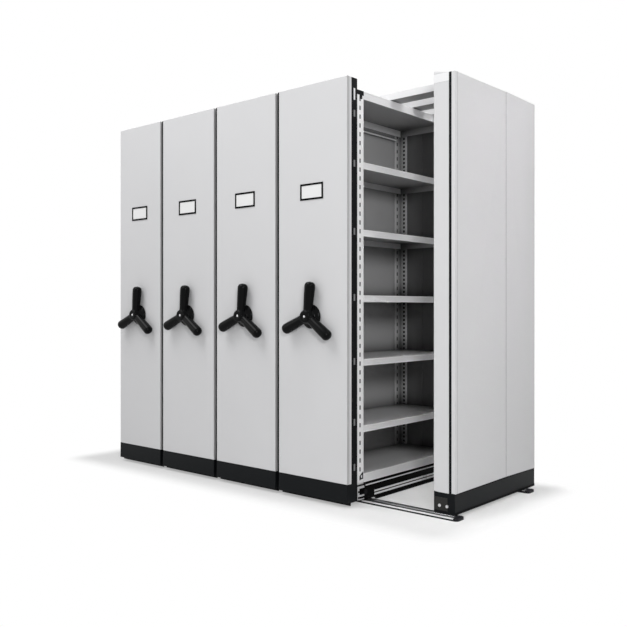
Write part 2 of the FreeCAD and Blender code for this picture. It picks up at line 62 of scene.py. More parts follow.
CARRIAGES = (1, 2, 3, 4)
X_AXIS, Y_AXIS, Z_AXIS = range(3)
ALONG_X = Vector((1, 0, 0))
UP = Vector((0, 0, 1))
DOWN = Vector((0, 0, -1))
OUT_OF_PANEL = Vector((0, -1, 0))
INTO_BAY = Vector((0, 1, 0))
SINK = 0.0005                   # how far a trim piece reaches into the face under it

# Camera, from the photograph's vanishing points. Its place is measured from the last panel's near corner,
# at the floor.
CAMERA_PLACE = Vector((2.727, -3.410, 1.1148))
CAMERA_LOOK = Vector((-0.6568, 0.7540, 0.0))
CAMERA_LENS = 45.27
CAMERA_SENSOR = 36.0
CAMERA_SHIFT = (-0.0005, -0.0096)

# Rounding of the trim's edges, from thin lines to boxes
SLOT_SHADOW_ROUND = 0.0001
LINE_ROUND = 0.0002
THIN_ROUND = 0.0004
SMALL_ROUND = 0.0006
PLAIN_ROUND = 0.001
SKIRT_ROUND = 0.0015
BOX_ROUND = 0.002
ROUND_FROM = math.radians(45.0)     # edges sharper than this are rounded
WELD_REACH = 0.00002
TRIM_SEGMENTS = 2
NODE_SEGMENTS = 3
FOLD_SEGMENTS = 4

# Label card, whose rim lies under the holder's border
CARD_INSET = 0.0088
CARD_THICKNESS = 0.0012
CARD_BACK_GAP = 0.0002

# Crank handle, along its own axis out of the panel and along its arms
HANDLE_FIRST_ARM = math.radians(84.0)
HANDLE_ARMS = 3
HANDLE_ARM_OUT = 0.037
HANDLE_ARM_START = 0.010
HANDLE_REACH = 0.201
HANDLE_ROOT_R = 0.0270
HANDLE_TIP_R = 0.0315
HANDLE_TIP_ROUND = 0.023
HANDLE_TIP_CROWN = 0.002
HANDLE_VOXEL = 0.0022
HANDLE_RELAX = 0.5
HANDLE_RELAX_ROUNDS = 6
HUB_OUTLINE = ((0.0005, 0.0), (0.0005, 0.069), (0.0040, 0.0705), (0.0100, 0.0700), (0.0160, 0.0640),
               (0.0200, 0.0540), (0.0240, 0.0450), (0.0320, 0.0400), (0.0600, 0.0370), (0.0660, 0.0350),
               (0.0690, 0.0310), (0.0690, 0.0140), (0.0640, 0.0130), (0.0640, 0.0))
HUB_SIDES = 64
ARM_SIDES = 32
ARM_RINGS = 24
HUB_BOLT_R = 0.0075
HUB_BOLT_RAISE = 0.004
HUB_BOLT_SINK = 0.002

# Posts, and the caps on their tops
POST_WEB = 0.072
POST_FLANGE = 0.058
CAP_OUTSIDE = 0.0015
CAP_INSIDE = 0.0022
CAP_SKIRT = 0.024
CAP_RAISE = 0.002
CAP_HOOK_INSET = 0.012
CAP_HOOK_WIDTH = 0.024
CAP_HOOK_DROP = 0.046

# Trim on the open side of a carriage's base; y is from the front of the base
STRIPS_Z = ((0.035, 0.045), (0.0525, 0.0625))
STRIP_START = 0.154
STRIP_DEPTH = 0.004
SKIRT_Z = (0.0205, 0.034)
LOW_SKIRT_Z = 0.008
LOW_SKIRT_GAP = 0.012           # between the low skirt and the rails
BEAD_Z = (0.100, 0.107)
BEAD_START = 0.076
BEAD_RAISE = 0.002
WHEEL_BOX_Y = (0.022, 0.154)
WHEEL_BOX_Z = (0.024, 0.100)
WHEEL_BOX_DEPTH = 0.006
BRACKET_Y = (0.001, 0.017)
BRACKET_Z = (0.030, 0.106)
BRACKET_DEPTH = 0.003
BRACKET_ARMS_Z = ((0.094, 0.106), (0.048, 0.058), (0.030, 0.036))
BRACKET_ARM_END = 0.056
BRACKET_BOLTS_Z = (0.042, 0.076)
BOLT_R = 0.006
BOLT_RAISE = 0.007
BOLT_CHAMFER = 0.7              # share of a head's height and radius at which its chamfer starts and ends
BOLT_SIDES = 24

# Rubber strip down a panel's closing edge, grey band on its open edge as painted shade of the fold, and a
# dark strip under its plinth as painted shadow; y is from the panel's face
EDGE_STRIP_REACH = 0.013
EDGE_STRIP_Y = (0.004, 0.030)
SIDE_SHADE_Y = (0.001, 0.021)
SIDE_SHADE_RAISE = 0.0006
TOE_SHADOW_Y = (0.030, 0.036)
TOE_SHADOW_Z = (0.010, 0.034)
TOE_SHADOW_INSET = 0.001

# Painted shadow behind the posts' slots and holes: dark strips inside the posts' sheet
SLOT_EDGE = 0.040
HOLE_DEPTH = 0.032
POST_SHEET = 0.002
SLOT_SHADOW_HALF_WIDTH = 0.008
SLOT_SHADOW_LAYER = (0.0002, 0.0008)
SLOT_SHADOW_END = 0.010

# Clips on the black channel behind a panel, painted dark grey as shade in the gap, the top one pale as lit
CLIP_WIDTH = 0.013
CLIP_HEIGHT = 0.038
CLIP_RAISE = 0.0012
CLIP_TOPS = (0.239, 0.491, 0.832, 1.190, 1.560, 1.941, 2.221)
TOP_CLIP_Z = (2.277, 2.343)

# Hook plate at the foot of a near post; y is from the post's front edge
HOOK_Y = (0.040, 0.066)
HOOK_Z = (0.140, 0.180)
HOOK_WALL = 0.006
HOOK_SLANT = 0.018
HOOK_WINDOW_DROPS = (0.012, 0.021)      # from the plate's top to the window's, at its back and its front
HOOK_RAISE = 0.002

# Joint strip on the far end sheet, from the open side, and the rail under the top shelf's back edge
JOINT_X = (0.240, 0.280)
JOINT_FOOT = 0.060
JOINT_RAISE = 0.0015
BACK_RAIL_Z = (2.264, 2.318)
BACK_RAIL_SHEET = 0.0015
BACK_RAIL_LIP = 0.014
# Lip edge of the back rail, painted lighter as a highlight
BACK_EDGE = (0.004, 0.008)

# Rims along the top and the foot of a shelf's front, painted lighter than the front as a highlight
RIM_HEIGHT = 0.006
RIM_RAISE = 0.003
RIM_ROUND = 0.002

# End units: pale band at the top of the narrow face, painted lighter as a highlight, plate on the front of
# the base, dark lines along the base as painted shadow in its gaps, and lines on the covers
END_FACE_WIDTH = 0.094
BAND_HEIGHT = 0.045
BAND_RAISE = 0.001
PLATE_MARGIN = 0.008
PLATE_Z = (0.034, 0.104)
PLATE_RAISE = 0.002
BASE_SHADOW_LINES_Z = ((0.0185, 0.032), (0.125, 0.1315))
BASE_SHADOW_LINE_RAISE = 0.001
COVER_JOINTS = ((0.022, 0.003), (0.565, 0.005))     # lines on the covers: distance from the front, width
COVER_JOINT_RAISE = 0.0006

# Lips along the ground rails
RAIL_WIDTH = 0.082
LIP_WIDTH = 0.008
INNER_LIP_WIDTH = 0.003
LIP_RAISE = 0.0015
NOSING_Z = (0.0090, 0.0155)
NOSING_RAISE = 0.0012
LIP_END = 0.024

# Rounded edges of the CAD nodes, and finishes other than their slot's material, by the end of a node's name
NODE_EDGES = {"end_bases": 0.003, "overhead_ties": 0.0008, "shelves": 0.0007, "edge_seals": 0.0008,
              "label_holder": 0.0015, "base_frame": 0.001, "ground_rails": 0.0015, "rail_bars": 0.001,
              "bolts": 0.0008}
NODE_FINISHES = {"base_frame": "deep_black", "label_holder": "deep_black", "uprights": "post_paint",
                 "overhead_ties": "band_paint", "bolts": "zinc"}
PANEL_FOLD = 0.003
POST_FOLD = 0.004
ON_FACE = 0.0001                # a corner nearer to the box's side than this lies on it

# Grain and slow drift of the coated surfaces
DRIFT_SCALE = 2.5
DRIFT_DETAIL = 3.0
GRAIN_DETAIL = 2.0
GRAIN_STRENGTH = 0.25
NOISE_RANGE = (0.3, 0.7)        # where most of a noise value lies
ROUGHNESS_DRIFT = 0.05
FACING_LIMIT = 0.7              # cosine of the widest angle at which a face still looks a given way

# Painted shade by the way a face looks: the way, and the share of the colour that it keeps
PANEL_FACING_SHADE = ((DOWN, 0.72),)
BAND_FACING_SHADE = ((DOWN, 0.42),)
SHELF_FACING_SHADE = ((DOWN, 0.56), (UP, 0.70), (INTO_BAY, 0.65), (ALONG_X, 0.92))
SHEET_FACING_SHADE = ((OUT_OF_PANEL, 0.36),)

# Painted shade inside the bays, from an occlusion node: the way that spared faces look, how far neighbours
# count, and the open shares at which the shade is full and none
SHELF_RECESS_SHADE = (ALONG_X, 0.30, 0.15, 0.75)
SHEET_RECESS_SHADE = (UP, 0.12, 0.2, 1.0)

# Stage and light
AISLE_BEAM = math.radians(14)
SHELF_BEAM = math.radians(12)
FLOOR_COLOR = (0.78, 0.78, 0.78, 1)
FLOOR_ROUGHNESS = 0.8
FLOOR_SIZE = 14.0
FLOOR_GLOW_NEAR = 0.35
FLOOR_GLOW_REACH = 0.22
WORLD_LIGHT = 0.22


def new_material(name):
    """A node material, its nodes and links, and its Principled shader."""
    material = bpy.data.materials.new(name)
    material.use_nodes = True
    tree = material.node_tree
    return material, tree.nodes, tree.links, tree.nodes["Principled BSDF"]


def noise(nodes, links, scale, detail, stretch=None):
    """Noise in metres, so that it keeps its scale on every piece."""
    coordinates = nodes.new("ShaderNodeTexCoord")
    texture = nodes.new("ShaderNodeTexNoise")
    texture.inputs["Scale"].default_value = scale
    texture.inputs["Detail"].default_value = detail
    if stretch is None:
        links.new(coordinates.outputs["Object"], texture.inputs["Vector"])
    else:
        mapping = nodes.new("ShaderNodeMapping")
        mapping.inputs["Scale"].default_value = stretch
        links.new(coordinates.outputs["Object"], mapping.inputs["Vector"])
        links.new(mapping.outputs["Vector"], texture.inputs["Vector"])
    return texture


def spread(nodes, links, source, low, high):
    """Maps a noise value to the range from low to high."""
    ramp = nodes.new("ShaderNodeMapRange")
    ramp.inputs["From Min"].default_value = NOISE_RANGE[0]
    ramp.inputs["From Max"].default_value = NOISE_RANGE[1]
    ramp.inputs["To Min"].default_value = low
    ramp.inputs["To Max"].default_value = high
    links.new(source, ramp.inputs["Value"])
    return ramp.outputs["Result"]


def tint(nodes, links, source, color, change):
    """The colour, lightened and darkened a little by a noise value."""
    mix = nodes.new("ShaderNodeMix")
    mix.data_type = "RGBA"
    mix.inputs["A"].default_value = [channel * (1 - change) for channel in color] + [1]
    mix.inputs["B"].default_value = [min(1, channel * (1 + change)) for channel in color] + [1]
    links.new(source, mix.inputs["Factor"])
    return mix.outputs["Result"]


def facing(nodes, links, way):
    """1 where a face looks a given way, and 0 elsewhere."""
    geometry = nodes.new("ShaderNodeNewGeometry")
    along = nodes.new("ShaderNodeVectorMath")
    along.operation = "DOT_PRODUCT"
    along.inputs[1].default_value = way
    links.new(geometry.outputs["True Normal"], along.inputs[0])
    faces = nodes.new("ShaderNodeMath")
    faces.operation = "GREATER_THAN"
    faces.inputs[1].default_value = FACING_LIMIT
    links.new(along.outputs["Value"], faces.inputs[0])
    return faces.outputs["Value"]


def facing_shade(nodes, links, color, way, tone):
    """Painted shade: the colour, times a darker share where a face looks a given way."""
    mix = nodes.new("ShaderNodeMix")
    mix.data_type = "RGBA"
    mix.blend_type = "MULTIPLY"
    mix.inputs["B"].default_value = (tone, tone, tone, 1)
    links.new(facing(nodes, links, way), mix.inputs["Factor"])
    links.new(color, mix.inputs["A"])
    return mix.outputs["Result"]


def recess_shade(nodes, links, color, spared, reach, closed, open_to):
    """Painted shade in recesses: the colour, darker where neighbours within reach close a face off.

    Faces that look the spared way keep their colour.
    """
    occlusion = nodes.new("ShaderNodeAmbientOcclusion")
    occlusion.inputs["Distance"].default_value = reach
    share = nodes.new("ShaderNodeMapRange")
    share.interpolation_type = "SMOOTHSTEP"
    share.inputs["From Min"].default_value = closed
    share.inputs["From Max"].default_value = open_to
    links.new(occlusion.outputs["AO"], share.inputs["Value"])
    others = nodes.new("ShaderNodeMath")
    others.operation = "SUBTRACT"
    others.inputs[0].default_value = 1.0
    links.new(facing(nodes, links, spared), others.inputs[1])
    mix = nodes.new("ShaderNodeMix")
    mix.data_type = "RGBA"
    mix.blend_type = "MULTIPLY"
    links.new(others.outputs["Value"], mix.inputs["Factor"])
    links.new(color, mix.inputs["A"])
    links.new(share.outputs["Result"], mix.inputs["B"])
    return mix.outputs["Result"]


def coated(name, color, roughness, grain_scale, grain_depth,
           metallic=0.0, gloss=0.5, change=0.03, stretch=None, facing_shades=(), recess=None):
    """A coated or moulded surface: fine grain in relief, a slow drift in colour and gloss, and painted
    shade where given.
    """
    material, nodes, links, shader = new_material(name)
    shader.inputs["Metallic"].default_value = metallic
    shader.inputs["Specular IOR Level"].default_value = gloss
    drift = noise(nodes, links, DRIFT_SCALE, DRIFT_DETAIL)
    grain = noise(nodes, links, grain_scale, GRAIN_DETAIL, stretch)
    shade = tint(nodes, links, drift.outputs["Fac"], color, change)
    for way, tone in facing_shades:
        shade = facing_shade(nodes, links, shade, way, tone)
    if recess:
        shade = recess_shade(nodes, links, shade, *recess)
    links.new(shade, shader.inputs["Base Color"])
    uneven = spread(nodes, links, drift.outputs["Fac"],
                    roughness - ROUGHNESS_DRIFT, roughness + ROUGHNESS_DRIFT)
    links.new(uneven, shader.inputs["Roughness"])
    bump = nodes.new("ShaderNodeBump")
    bump.inputs["Strength"].default_value = GRAIN_STRENGTH
    bump.inputs["Distance"].default_value = grain_depth
    links.new(grain.outputs["Fac"], bump.inputs["Height"])
    links.new(bump.outputs["Normal"], shader.inputs["Normal"])
    return material


# Each finish has a colour, a roughness, and the scale and depth of its grain
MATERIALS = {
    # Panel paint: downward faces darker, as painted shade
    "panel_paint": coated("panel_paint", (0.68, 0.68, 0.69), 0.42, 700.0, 0.0003, gloss=0.3,
                          facing_shades=PANEL_FACING_SHADE),
    # Pale paint of the ties, end bands and top clips: a painted highlight on the bands and clips, painted
    # shade below
    "band_paint": coated("band_paint", (0.86, 0.86, 0.87), 0.42, 700.0, 0.0003, gloss=0.3,
                         facing_shades=BAND_FACING_SHADE),
    # Shelf paint: downward, upward and inward faces and the fronts darker, as painted shade; recesses too,
    # sparing the fronts
    "shelf_paint": coated("shelf_paint", (0.92, 0.92, 0.925), 0.38, 700.0, 0.0003, gloss=0.3,
                          facing_shades=SHELF_FACING_SHADE, recess=SHELF_RECESS_SHADE),
    # Post paint: recesses darker, as painted shade
    "post_paint": coated("post_paint", (0.92, 0.92, 0.925), 0.38, 700.0, 0.0003, gloss=0.3,
                         recess=SHEET_RECESS_SHADE),
    # Lighter than the shelf fronts: a painted highlight on the rims and the back rail's edge
    "rim_highlight_paint": coated("rim_highlight_paint", (0.95, 0.95, 0.955), 0.34, 700.0, 0.0002, gloss=0.4),
    # Sheet grey: darker than the shelves' paint as painted shade inside the bays, darker still on the far
    # end sheets
    "sheet_paint": coated("sheet_paint", (0.48, 0.48, 0.485), 0.40, 700.0, 0.0003, gloss=0.3,
                          facing_shades=SHEET_FACING_SHADE, recess=SHEET_RECESS_SHADE),
    # Clip grey: dark as painted shade in the gap behind the panels
    "clip_shade_grey": coated("clip_shade_grey", (0.20, 0.20, 0.205), 0.40, 700.0, 0.0002),
    "plate_grey": coated("plate_grey", (0.026, 0.025, 0.024), 0.45, 500.0, 0.0003, gloss=0.15),
    "black_paint": coated("black_paint", (0.006, 0.007, 0.008), 0.42, 600.0, 0.0003, gloss=0.08),
    "deep_black": coated("deep_black", (0.0018, 0.0019, 0.0020), 0.50, 600.0, 0.0002, gloss=0.03),
    # Grey of the panels' side bands, as painted shade of the fold, and of the joint lines on the covers
    "joint_and_shade_grey": coated("joint_and_shade_grey", (0.48, 0.48, 0.485), 0.42, 700.0, 0.0002, gloss=0.3),
    "rail_paint": coated("rail_paint", (0.012, 0.012, 0.014), 0.40, 400.0, 0.0003, gloss=0.10),
    "black_plastic": coated("black_plastic", (0.006, 0.006, 0.007), 0.45, 900.0, 0.0002, gloss=0.08),
    "handle_plastic": coated("handle_plastic", (0.0020, 0.0022, 0.0024), 0.16, 1200.0, 0.00005, gloss=0.08),
    "zinc": coated("zinc", (0.66, 0.66, 0.67), 0.36, 90.0, 0.0002, metallic=0.6, change=0.08),
    "steel": coated("steel", (0.66, 0.66, 0.67), 0.28, 160.0, 0.0002, metallic=1.0,
                    stretch=(0.05, 1.0, 1.0)),
    "aluminium": coated("aluminium", (0.94, 0.94, 0.945), 0.30, 200.0, 0.0002, metallic=0.3,
                        stretch=(1.0, 0.05, 1.0)),
    "card": coated("card", (0.86, 0.86, 0.86), 0.75, 1500.0, 0.0001, change=0.01),
}


def add_piece(name, build, material, body):
    """A new visible piece in the shared frame that moves with a body; build(bm) fills its mesh."""
    mesh = bpy.data.meshes.new(name)
    bm = bmesh.new()
    build(bm)
    bmesh.ops.recalc_face_normals(bm, faces=bm.faces)
    bm.to_mesh(mesh)
    bm.free()
    mesh.materials.append(MATERIALS[material])
    piece = bpy.data.objects.new(name, mesh)
    bpy.context.scene.collection.objects.link(piece)
    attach(piece, body)
    return piece


def add_block(bm, low, high, bevel, segments=TRIM_SEGMENTS):
    """A box with rounded edges."""
    size = Vector(high) - Vector(low)
    middle = (Vector(high) + Vector(low)) / 2
    matrix = Matrix.Translation(middle) @ Matrix.Diagonal((size.x, size.y, size.z, 1))
    made = bmesh.ops.create_cube(bm, size=1, matrix=matrix)
    edges = list({edge for vert in made["verts"] for edge in vert.link_edges})
    bmesh.ops.bevel(bm, geom=edges, offset=bevel, segments=segments, profile=0.5, affect="EDGES")


def add_prism(bm, outline, axis, start, end):
    """An outline in the two other axes, in x, y, z order, drawn out along an axis."""
    def place(point, along):
        values = list(point)
        values.insert(axis, along)
        return bm.verts.new(values)

    first = [place(point, start) for point in outline]
    last = [place(point, end) for point in outline]
    bm.faces.new(first)
    bm.faces.new(list(reversed(last)))
    count = len(outline)
    for index in range(count):
        after = (index + 1) % count
        bm.faces.new((first[after], first[index], last[index], last[after]))


def add_lathe(bm, outline, middle, axis, sides):
    """A closed solid of revolution from (along, radius) pairs that start and end on the axis."""
    spin = axis.to_track_quat("Z", "Y").to_matrix()
    rings = []
    for along, radius in outline:
        center = middle + axis * along
        if radius == 0:
            rings.append([bm.verts.new(center)])
            continue
        ring = []
        for side in range(sides):
            angle = 2 * math.pi * side / sides
            arm = Vector((radius * math.cos(angle), radius * math.sin(angle), 0))
            ring.append(bm.verts.new(center + spin @ arm))
        rings.append(ring)
    for near, far in zip(rings, rings[1:]):
        for side in range(sides):
            after = (side + 1) % sides
            corners = [near[side % len(near)], near[after % len(near)],
                       far[after % len(far)], far[side % len(far)]]
            unique = list(dict.fromkeys(corners))
            if len(unique) > 2:
                bm.faces.new(unique)


def add_bolt(bm, middle, axis, radius, height):
    """A round bolt head with a chamfered rim."""
    outline = ((0, 0), (0, radius), (height * BOLT_CHAMFER, radius),
               (height, radius * BOLT_CHAMFER), (height, 0))
    add_lathe(bm, outline, middle, axis, BOLT_SIDES)


def smooth(piece):
    """Shades a piece without facets."""
    for polygon in piece.data.polygons:
        polygon.use_smooth = True


def arm_outline():
    """Grip from inside the hub to its flattened round end: (along, radius) pairs."""
    start = HANDLE_ARM_START
    end = HANDLE_REACH - HANDLE_TIP_CROWN - HANDLE_TIP_ROUND
    points = [(start, 0.0)]
    for ring in range(ARM_RINGS + 1):
        share = ring / ARM_RINGS
        swell = share * share * (3 - 2 * share)
        points.append((start + (end - start) * share,
                       HANDLE_ROOT_R + (HANDLE_TIP_R - HANDLE_ROOT_R) * swell))
    tip_rings = ARM_RINGS // 2
    for ring in range(1, tip_rings + 1):
        angle = math.pi / 2 * ring / tip_rings
        points.append((end + HANDLE_TIP_ROUND * math.sin(angle),
                       HANDLE_TIP_R - HANDLE_TIP_ROUND * (1 - math.cos(angle))))
    points.append((HANDLE_REACH, 0.0))
    return points


def crank_handle(number):
    """Moulded three-arm handle in one skin, and the bright bolt in its hub."""
    low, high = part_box("carriage_%d_crank_shaft" % number)
    panel_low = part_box("carriage_%d_front_panel" % number)[0]
    middle = Vector(((low.x + high.x) / 2, panel_low.y, (low.z + high.z) / 2))
    body = "crank_%d" % number

    def build(bm):
        add_lathe(bm, HUB_OUTLINE, middle, OUT_OF_PANEL, HUB_SIDES)
        for arm in range(HANDLE_ARMS):
            angle = HANDLE_FIRST_ARM + 2 * math.pi * arm / HANDLE_ARMS
            along = Vector((math.cos(angle), 0, math.sin(angle)))
            add_lathe(bm, arm_outline(), middle + OUT_OF_PANEL * HANDLE_ARM_OUT, along, ARM_SIDES)

    handle = add_piece("crank_handle_%d" % number, build, "handle_plastic", body)
    skin = handle.modifiers.new("skin", "REMESH")
    skin.mode = "VOXEL"
    skin.voxel_size = HANDLE_VOXEL
    skin.use_smooth_shade = True
    relax = handle.modifiers.new("relax", "SMOOTH")
    relax.factor = HANDLE_RELAX
    relax.iterations = HANDLE_RELAX_ROUNDS
    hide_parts("carriage_%d_handle" % number)

    def build_bolt(bm):
        seat = HUB_OUTLINE[-1][0] - HUB_BOLT_SINK
        add_bolt(bm, middle + OUT_OF_PANEL * seat, OUT_OF_PANEL, HUB_BOLT_R, HUB_BOLT_RAISE + HUB_BOLT_SINK)

    smooth(add_piece("hub_bolt_%d" % number, build_bolt, "steel", body))


def label_card(number):
    """White card in the label holder."""
    low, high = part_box("carriage_%d_label_holder" % number)
    back = high.y - CARD_BACK_GAP

    def build(bm):
        add_block(bm, (low.x + CARD_INSET, back - CARD_THICKNESS, low.z + CARD_INSET),
                  (high.x - CARD_INSET, back, high.z - CARD_INSET), THIN_ROUND)

    add_piece("label_card_%d" % number, build, "card", "carriage_%d" % number)


def post_caps(number):
    """Black caps on the tops of the four posts, with a hook down one edge on the open side."""
    low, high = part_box("carriage_%d_uprights" % number)
    top = high.z
    far_web = POST_WEB + CAP_OUTSIDE
    far_flange = POST_FLANGE + CAP_OUTSIDE
    hook_end = POST_WEB - CAP_HOOK_INSET
    hook_start = hook_end - CAP_HOOK_WIDTH
    angle = [(-CAP_OUTSIDE, -CAP_OUTSIDE), (far_flange, -CAP_OUTSIDE), (far_flange, CAP_INSIDE),
             (CAP_INSIDE, CAP_INSIDE), (CAP_INSIDE, far_web), (-CAP_OUTSIDE, far_web)]
    hook = [(-CAP_OUTSIDE, hook_start), (CAP_INSIDE, hook_start),
            (CAP_INSIDE, hook_end), (-CAP_OUTSIDE, hook_end)]

    def build(bm):
        for corner_x, way_x in ((high.x, -1), (low.x, 1)):
            for corner_y, way_y in ((low.y, 1), (high.y, -1)):
                parts = [(angle, top - CAP_SKIRT, top + CAP_RAISE)]
                if corner_x == high.x:
                    parts.append((hook, top - CAP_HOOK_DROP, top - CAP_SKIRT))
                for outline, z0, z1 in parts:
                    corners = [(corner_x + way_x * along, corner_y + way_y * across)
                               for along, across in outline]
                    add_prism(bm, corners, Z_AXIS, z0, z1)

    body = "carriage_%d" % number
    piece = add_piece("post_caps_%d" % number, build, "black_plastic", body)
    round_edges(piece, PLAIN_ROUND, TRIM_SEGMENTS)


def round_edges(piece, width, segments):
    """Welds split corners, then rounds every sharp edge."""
    weld = piece.modifiers.new("weld", "WELD")
    weld.merge_threshold = WELD_REACH
    bevel = piece.modifiers.new("bevel", "BEVEL")
    bevel.width = width
    bevel.segments = segments
    bevel.limit_method = "ANGLE"
    bevel.angle_limit = ROUND_FROM
    bevel.use_clamp_overlap = True
    bevel.harden_normals = False
    return bevel


def round_folds(piece, width, chosen):
    """Rounds only the folds between the corners for which chosen(place) is true."""
    bevel = round_edges(piece, width, FOLD_SEGMENTS)
    group = piece.vertex_groups.new(name="folds")
    corners = [vert.index for vert in piece.data.vertices if chosen(piece.matrix_world @ vert.co)]
    group.add(corners, 1.0, "REPLACE")
    bevel.limit_method = "VGROUP"
    bevel.vertex_group = group.name


def base_trim(number):
    """What shows on the open side of a carriage's base: strips, bead, skirts, wheel box and bracket."""
    low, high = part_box("carriage_%d_base_frame" % number)
    rails_low, rails_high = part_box("ground_rails")
    body = "carriage_%d" % number
    face = high.x
    root = face - SINK
    crest = face + STRIP_DEPTH

    def build_strip(bm):
        for z0, z1 in STRIPS_Z:
            add_block(bm, (root, low.y + STRIP_START, z0), (crest, high.y, z1), PLAIN_ROUND)

    add_piece("base_strip_%d" % number, build_strip, "aluminium", body)

    def build_bead(bm):
        add_block(bm, (root, low.y + BEAD_START, BEAD_Z[0]),
                  (face + BEAD_RAISE, high.y, BEAD_Z[1]), PLAIN_ROUND)

    add_piece("base_bead_%d" % number, build_bead, "shelf_paint", body)

    def build_black(bm):
        add_block(bm, (root, low.y + WHEEL_BOX_Y[0], WHEEL_BOX_Z[0]),
                  (face + WHEEL_BOX_DEPTH, low.y + WHEEL_BOX_Y[1], WHEEL_BOX_Z[1]), BOX_ROUND)
        add_block(bm, (root, low.y + STRIP_START, SKIRT_Z[0]), (crest, high.y, SKIRT_Z[1]), SKIRT_ROUND)
        add_block(bm, (root, rails_low.y + RAIL_WIDTH + LOW_SKIRT_GAP, LOW_SKIRT_Z),
                  (crest, rails_high.y - RAIL_WIDTH - LOW_SKIRT_GAP, sum(SKIRT_Z) / 2), SKIRT_ROUND)
        for z in BRACKET_BOLTS_Z:
            add_bolt(bm, Vector((face, low.y + sum(BRACKET_Y) / 2, z)), ALONG_X, BOLT_R, BOLT_RAISE)

    add_piece("base_fittings_%d" % number, build_black, "deep_black", body)

    def build_bracket(bm):
        add_block(bm, (root, low.y + BRACKET_Y[0], BRACKET_Z[0]),
                  (face + BRACKET_DEPTH, low.y + BRACKET_Y[1], BRACKET_Z[1]), PLAIN_ROUND)
        arm_face = face + WHEEL_BOX_DEPTH + BRACKET_DEPTH / 2
        for z0, z1 in BRACKET_ARMS_Z:
            add_block(bm, (root, low.y + BRACKET_Y[1] - SINK, z0),
                      (arm_face, low.y + BRACKET_ARM_END, z1), PLAIN_ROUND)

    add_piece("base_bracket_%d" % number, build_bracket, "zinc", body)


def panel_trim(number):
    """Painted shadow under a panel's plinth, a grey band of painted shade on its open edge, and rubber
    strip on its closing edge.
    """
    low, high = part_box("carriage_%d_front_panel" % number)
    body = "carriage_%d" % number

    def build_toe_shadow(bm):
        add_block(bm, (low.x + TOE_SHADOW_INSET, low.y + TOE_SHADOW_Y[0], TOE_SHADOW_Z[0]),
                  (high.x - TOE_SHADOW_INSET, low.y + TOE_SHADOW_Y[1], TOE_SHADOW_Z[1]), PLAIN_ROUND)

    add_piece("plinth_shadow_%d" % number, build_toe_shadow, "deep_black", body)

    def build_band(bm):
        add_block(bm, (high.x - SINK, low.y + SIDE_SHADE_Y[0], low.z),
                  (high.x + SIDE_SHADE_RAISE, low.y + SIDE_SHADE_Y[1], high.z), THIN_ROUND)

    add_piece("side_shade_band_%d" % number, build_band, "joint_and_shade_grey", body)
    if number == CARRIAGES[0]:
        return

    def build_strip(bm):
        add_block(bm, (low.x - EDGE_STRIP_REACH, low.y + EDGE_STRIP_Y[0], low.z),
                  (low.x + SINK, low.y + EDGE_STRIP_Y[1], high.z), BOX_ROUND)

    add_piece("edge_strip_%d" % number, build_strip, "deep_black", body)


def slot_shadows(number):
    """Painted shadow: dark strips inside the posts' sheet, behind the slots of the webs and the holes of
    the flanges.
    """
    low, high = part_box("carriage_%d_uprights" % number)
    z0 = low.z + SLOT_SHADOW_END
    z1 = high.z - SLOT_SHADOW_END
    near, far = SLOT_SHADOW_LAYER

    def build(bm):
        for web, way_x in ((high.x - POST_SHEET, -1), (low.x, 1)):
            edge_x = high.x if way_x < 0 else low.x
            for end_y, way_y in ((low.y, 1), (high.y, -1)):
                across = end_y + way_y * SLOT_EDGE
                add_block(bm, (web + near, across - SLOT_SHADOW_HALF_WIDTH, z0),
                          (web + far, across + SLOT_SHADOW_HALF_WIDTH, z1), SLOT_SHADOW_ROUND, segments=1)
                across = edge_x + way_x * HOLE_DEPTH
                layer = sorted((end_y + way_y * near, end_y + way_y * far))
                add_block(bm, (across - SLOT_SHADOW_HALF_WIDTH, layer[0], z0),
                          (across + SLOT_SHADOW_HALF_WIDTH, layer[1], z1), SLOT_SHADOW_ROUND, segments=1)

    add_piece("slot_shadow_%d" % number, build, "deep_black", "carriage_%d" % number)


def channel_clips(number):
    """Small clips on the black channel behind a panel, on the open side of the carriage."""
    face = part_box("carriage_%d_front_panel" % number)[1]
    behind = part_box("carriage_%d_base_frame" % number)[0]
    middle = (face.y + behind.y) / 2
    body = "carriage_%d" % number

    def clip(bm, z0, z1):
        add_block(bm, (face.x - SINK, middle - CLIP_WIDTH / 2, z0),
                  (face.x + CLIP_RAISE, middle + CLIP_WIDTH / 2, z1), SMALL_ROUND)

    def build(bm):
        for top in CLIP_TOPS:
            clip(bm, top - CLIP_HEIGHT, top)

    # Dark grey as painted shade in the gap; the top clip pale as painted light
    add_piece("channel_clips_%d" % number, build, "clip_shade_grey", body)
    add_piece("top_clip_%d" % number, lambda bm: clip(bm, *TOP_CLIP_Z), "band_paint", body)


def post_hook(number):
    """Dark hook plate on the near post, beside the bottom shelf: a slanted frame round a window."""
    low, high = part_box("carriage_%d_uprights" % number)
    y0 = low.y + HOOK_Y[0]
    y1 = low.y + HOOK_Y[1]
    z0, z1 = HOOK_Z
    wall = HOOK_WALL
    back_drop, front_drop = HOOK_WINDOW_DROPS
    outer = [(y0, z0), (y1, z0), (y1, z1), (y0, z1 - HOOK_SLANT)]
    inner = [(y0 + wall, z0 + wall), (y1 - wall, z0 + wall),
             (y1 - wall, z1 - back_drop), (y0 + wall, z1 - front_drop)]

    def build(bm):
        for index in range(len(outer)):
            after = (index + 1) % len(outer)
            outline = [outer[index], outer[after], inner[after], inner[index]]
            add_prism(bm, outline, X_AXIS, high.x - SINK, high.x + HOOK_RAISE)

    add_piece("post_hook_%d" % number, build, "black_paint", "carriage_%d" % number)


